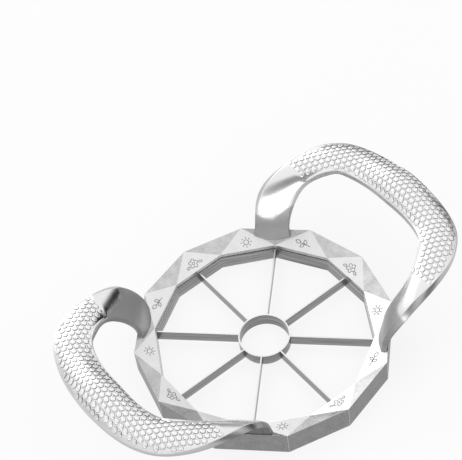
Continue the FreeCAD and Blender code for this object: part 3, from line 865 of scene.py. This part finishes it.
metal = add_node(tree, "ShaderNodeMix", {
    "Factor": unrubbed.outputs["Fac"], "A": metal.outputs["Result"], "B": linear(PAINTED_SHADE_GREY)}, data_type="RGBA")
tree.links.new(metal.outputs["Result"], shader.inputs["Base Color"])
rough = add_node(tree, "ShaderNodeMapRange", {
    "Value": rubbed.outputs["Result"], "To Min": STUD_SIDE_ROUGHNESS, "To Max": STUD_TOP_ROUGHNESS})
tree.links.new(rough.outputs["Result"], shader.inputs["Roughness"])
bump = add_node(tree, "ShaderNodeBump", {
    "Strength": STUD_BUMP, "Distance": STUD_RELIEF * MM, "Height": grain.outputs["Fac"]})
tree.links.new(bump.outputs["Normal"], shader.inputs["Normal"])

stud_points, stud_faces, stud_rise, stud_flank = stud_mesh()
for name, side in (("grip_studs_right", 1), ("grip_studs_left", -1)):
    studs = new_piece(name, stud_points, stud_faces, side,
                      rise=stud_rise, unrubbed=stud_flank * PAINTED_SHADE_ON_FLANKS[side])
    studs.data.materials.append(stud_metal)

# ---------------------------------------------------------------- motifs on the facets
# Each grit-blasted triangle carries a small line drawing, cast as a thin raised ridge: in turn a sprig with
# three leaves, a five-petalled blossom, and a sun with eight rays.

RIDGE_WIDTH = 0.34
RIDGE_HEIGHT = 0.13
RIDGE_FOOT = 0.04
# Corners across a ridge, as shares of its width and heights over the facet: its foot is sunk in the metal.
RIDGE_SECTION = ((0.5, -RIDGE_FOOT), (0.2, RIDGE_HEIGHT), (-0.2, RIDGE_HEIGHT), (-0.5, -RIDGE_FOOT))
STROKE_TIP = 0.4
STROKE_POINTS = 25
MOTIF_HEIGHT = 3.7


def turned(points, angle, place=(0, 0)):
    """Plane points, turned by an angle in degrees and then moved to a place."""
    cosine, sine = math.cos(math.radians(angle)), math.sin(math.radians(angle))
    return points @ np.array([[cosine, sine], [-sine, cosine]]) + place


def leaf(length, width, angle, place):
    """Outline of a leaf from its stalk round its tip: out along one sine arch, back along the other."""
    way = np.linspace(0, 2, STROKE_POINTS)
    along = np.where(way < 1, way, 2 - way) * length
    aside = np.sin(math.pi * way) * width / 2
    return turned(np.stack([along, aside], axis=1), angle, place)


def blossom(radius, lobe, petals):
    """Scalloped ring: its radius swells with the size of a sine, which turns once for every two petals."""
    around = np.linspace(0, 2 * math.pi, 3 * STROKE_POINTS)
    reach = radius + lobe * np.abs(np.sin(petals * around / 2))
    return np.stack([reach * np.cos(around), reach * np.sin(around)], axis=1)


def circle(radius):
    """Circle that starts and ends on X."""
    around = np.radians(np.linspace(0, 360, STROKE_POINTS))
    return np.stack([radius * np.cos(around), radius * np.sin(around)], axis=1)


def line(start, end):
    """Straight stroke."""
    return np.linspace(start, end, STROKE_POINTS)


SPRIG = [
    line((-3.4, -0.6), (1.2, 0.2)),
    leaf(2.6, 1.5, 15, (1.2, 0.2)),
    leaf(2.3, 1.3, 62, (-1.2, -0.2)),
    leaf(2.2, 1.2, -48, (-0.4, -0.1)),
]
BLOSSOM = [
    blossom(1.15, 1.0, 5),
    circle(0.55),
    leaf(1.9, 1.0, 200, (-2.2, -0.4)),
    leaf(1.9, 1.0, -20, (2.2, -0.4)),
]
SUN = [circle(1.1)] + [turned(line((1.6, 0), (2.5, 0)), angle) for angle in range(0, 360, 45)]


def ridge(stroke, plane):
    """Tube along a stroke on a facet: a low ridge with sloping sides, tapered at both ends, its foot sunk."""
    foot, across, upwards, normal = plane
    course = np.gradient(stroke, axis=0)
    course /= np.linalg.norm(course, axis=1)[:, None]
    side = np.stack([-course[:, 1], course[:, 0]], axis=1)
    taper = np.full(len(stroke), 1.0)
    taper[[0, -1]] = STROKE_TIP
    columns = []
    for reach, height in RIDGE_SECTION:
        flat = stroke + side * (reach * RIDGE_WIDTH * taper)[:, None]
        columns.append(foot + flat[:, :1] * across + (flat[:, 1:] + MOTIF_HEIGHT) * upwards + height * normal)
    return np.stack(columns, axis=1)


def motif_mesh():
    """Points and faces of all the ridges. Each motif stands upright from the opening's edge on its facet."""
    inner, outer = ring_profile[0][::2], ring_profile[1][1::2]
    points, faces = [], []
    for k in range(SIDES):
        start, end = inner[k], inner[(k + 1) % SIDES]
        foot = (start + end) / 2
        across = (start - end) / np.linalg.norm(start - end)
        upwards = outer[k] - foot
        upwards -= across * (upwards @ across)
        upwards /= np.linalg.norm(upwards)
        plane = (foot, across, upwards, np.cross(across, upwards))
        for stroke in (SPRIG, BLOSSOM, SUN)[k % 3]:
            grid = ridge(stroke, plane)
            base = sum(len(part) for part in points)
            faces += [[base + corner for corner in face] for face in tube_faces(*grid.shape[:2])]
            points.append(grid.reshape(-1, 3))
    return np.concatenate(points), faces


# Raised lines: duller than the blasted metal round them, and painted darker as the shade along their sides,
# so that they read as thin grey strokes.
motif_metal_with_painted_shade = cast_material(
    "cast aluminium, raised lines, with painted shade", dark="A2A2A2", pale="C6C6C6", roughness=0.45, relief=0.01)
motifs = new_piece("facet_motifs", *motif_mesh())
motifs.data.materials.append(motif_metal_with_painted_shade)

# ---------------------------------------------------------------- steel insert
# The band, the core ring and the eight blades are stainless strip, brushed along its length. The band lies in
# the frame's pocket, and the blades' tabs sit in its slots and in the core ring's.

# Real brush lines are about a tenth as wide. They are drawn coarser, so that they show.
BRUSH_PITCH = 0.4
BRUSH_LENGTH = 30.0
BRUSH_RELIEF = 0.01
BRUSH_BUMP = 0.6
BRUSH_DULLER = 0.08
BRUSH_GLOSSIER = 0.06
# Painted highlight on the steel's faces that look up.
UPWARD_HIGHLIGHT = "F1F1F1"
# Upward parts of a face's normal from which the painted highlight begins and is full.
UPWARD_HIGHLIGHT_FROM = 0.6
UPWARD_HIGHLIGHT_FULL = 0.9


def brushed_steel(name, dark, pale, roughness):
    """Stainless strip with level brush lines, and a painted highlight on the faces that look up."""
    material, tree, shader = new_material(name, {"Metallic": 1.0})
    place = add_node(tree, "ShaderNodeTexCoord")
    drawn = add_node(tree, "ShaderNodeMapping", {
        "Vector": place.outputs["Object"],
        "Scale": (1 / (BRUSH_LENGTH * MM), 1 / (BRUSH_LENGTH * MM), 1 / (BRUSH_PITCH * MM))})
    lines = add_node(tree, "ShaderNodeTexNoise", {
        "Vector": drawn.outputs["Vector"], "Scale": 1.0, "Detail": 3.0, "Roughness": 0.7})
    contrast = add_node(tree, "ShaderNodeMapRange", {
        "Value": lines.outputs["Fac"], "From Min": NOISE_LOW, "From Max": NOISE_HIGH},
        interpolation_type="SMOOTHSTEP")
    brushed = add_node(tree, "ShaderNodeMix", {
        "Factor": contrast.outputs["Result"], "A": linear(dark), "B": linear(pale)}, data_type="RGBA")
    face = add_node(tree, "ShaderNodeNewGeometry")
    upward = add_node(tree, "ShaderNodeSeparateXYZ", {"Vector": face.outputs["True Normal"]})
    upward_highlight = add_node(tree, "ShaderNodeMapRange", {
        "Value": upward.outputs["Z"], "From Min": UPWARD_HIGHLIGHT_FROM, "From Max": UPWARD_HIGHLIGHT_FULL},
        interpolation_type="SMOOTHSTEP")
    metal = add_node(tree, "ShaderNodeMix", {
        "Factor": upward_highlight.outputs["Result"], "A": brushed.outputs["Result"], "B": linear(UPWARD_HIGHLIGHT)},
        data_type="RGBA")
    tree.links.new(metal.outputs["Result"], shader.inputs["Base Color"])
    rough = add_node(tree, "ShaderNodeMapRange", {
        "Value": lines.outputs["Fac"], "From Min": NOISE_LOW, "From Max": NOISE_HIGH,
        "To Min": roughness + BRUSH_DULLER, "To Max": roughness - BRUSH_GLOSSIER})
    tree.links.new(rough.outputs["Result"], shader.inputs["Roughness"])
    bump = add_node(tree, "ShaderNodeBump", {
        "Strength": BRUSH_BUMP, "Distance": BRUSH_RELIEF * MM, "Height": lines.outputs["Fac"]})
    tree.links.new(bump.outputs["Normal"], shader.inputs["Normal"])
    return material


# The band: strong light and dark lines all round.
band_steel = brushed_steel(
    "stainless steel strip, brushed, for the band", dark="686868", pale="ACACAC", roughness=0.3)
# The core ring: the same strip rolled round, a little darker.
core_steel = brushed_steel(
    "stainless steel strip, brushed, for the core ring", dark="666666", pale="A4A4A4", roughness=0.3)
# The blades: thinner sheet, with fainter lines and a little more gloss.
blade_steel = brushed_steel(
    "stainless steel strip, brushed, for the blades", dark="787878", pale="9E9E9E", roughness=0.28)
for name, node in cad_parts.items():
    if name != "cast_frame":
        steel = {"blade_band": band_steel, "core_ring": core_steel}.get(name, blade_steel)
        node.data.materials.clear()
        node.data.materials.append(steel)
